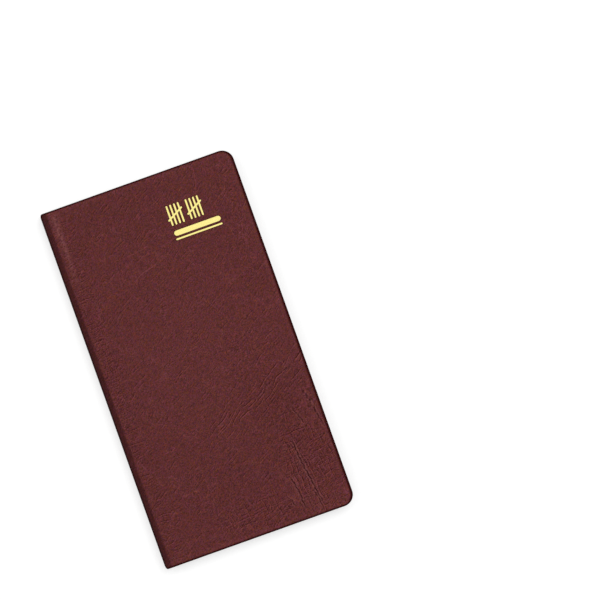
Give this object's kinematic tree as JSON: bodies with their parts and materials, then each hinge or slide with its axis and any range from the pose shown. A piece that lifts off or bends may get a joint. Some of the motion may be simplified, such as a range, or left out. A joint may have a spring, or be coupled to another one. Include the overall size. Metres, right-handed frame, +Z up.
{
  "type": "tally book",
  "caption": "Slim pocket tally book: soft leather-look cover welded over boards round a sewn section of ruled leaves; opens flat at its centre spread.",
  "frame": {"origin": "centre of the closed book's outline, on the surface it lies on", "axes": "+X from the spine to the fore edge, +Y to the head, +Z up through the front cover, with the book closed on its back cover"},
  "size_m": [0.092, 0.1714, 0.008],
  "materials": {
    "skin": "satin burgundy leather-grain sheet",
    "board": "grey-brown bookbinding board",
    "liner": "matte dark grey-brown sheet",
    "foil": "hot-stamped gold foil",
    "leaf": "white ruled writing paper",
    "thread": "pale pinkish-brown sewing thread"
  },
  "bodies": {
    "back_cover": {"back_skin": "skin", "back_board": "board", "back_liner": "liner"},
    "spine": {"spine_skin": "skin", "spine_liner": "liner", "spine_thread": "thread"},
    "front_cover": {"front_skin": "skin", "front_board": "board", "front_liner": "liner", "foil_gate_left": "foil", "foil_gate_right": "foil", "foil_rule_thick": "foil", "foil_rule_thin": "foil"},
    "back_leaves": {"fold_thread": "thread", "back_leaf_01": "leaf", "back_leaf_02": "leaf", "back_leaf_03": "leaf", "back_leaf_04": "leaf", "back_leaf_05": "leaf", "back_leaf_06": "leaf", "back_leaf_07": "leaf", "back_leaf_08": "leaf", "back_leaf_09": "leaf", "back_leaf_10": "leaf", "back_leaf_11": "leaf", "back_leaf_12": "leaf", "back_leaf_13": "leaf", "back_leaf_14": "leaf", "back_leaf_15": "leaf", "back_leaf_16": "leaf", "back_leaf_17": "leaf", "back_leaf_18": "leaf", "back_leaf_19": "leaf", "back_leaf_20": "leaf"},
    "front_leaves": {"front_leaf_01": "leaf", "front_leaf_02": "leaf", "front_leaf_03": "leaf", "front_leaf_04": "leaf", "front_leaf_05": "leaf", "front_leaf_06": "leaf", "front_leaf_07": "leaf", "front_leaf_08": "leaf", "front_leaf_09": "leaf", "front_leaf_10": "leaf", "front_leaf_11": "leaf", "front_leaf_12": "leaf", "front_leaf_13": "leaf", "front_leaf_14": "leaf", "front_leaf_15": "leaf", "front_leaf_16": "leaf", "front_leaf_17": "leaf", "front_leaf_18": "leaf", "front_leaf_19": "leaf", "front_leaf_20": "leaf"}
  },
  "joints": [
    {"name": "spine_fold", "type": "hinge", "parent": "back_cover", "child": "spine", "pos_m": [-0.04512, 0, 0.00088], "axis": [0, -1, 0], "range_deg": [0, 90]},
    {"name": "cover_fold", "type": "hinge", "parent": "spine", "child": "front_cover", "pos_m": [-0.04512, 0, 0.00712], "axis": [0, -1, 0], "range_deg": [0, 90]},
    {"name": "section_shift", "type": "slide", "parent": "back_cover", "child": "back_leaves", "axis": [-1, 0, 0], "range_m": [0, 0.00585]},
    {"name": "leaf_fold", "type": "hinge", "parent": "back_leaves", "child": "front_leaves", "pos_m": [-0.0424, 0, 0.004], "axis": [0, -1, 0], "range_deg": [0, 180]}
  ],
  "couplings": [
    {"joint": "spine_fold", "follows": "cover_fold", "ratio": 1},
    {"joint": "section_shift", "follows": "cover_fold", "m_per_rad": 0.0037195},
    {"joint": "leaf_fold", "follows": "cover_fold", "ratio": 2}
  ]
}
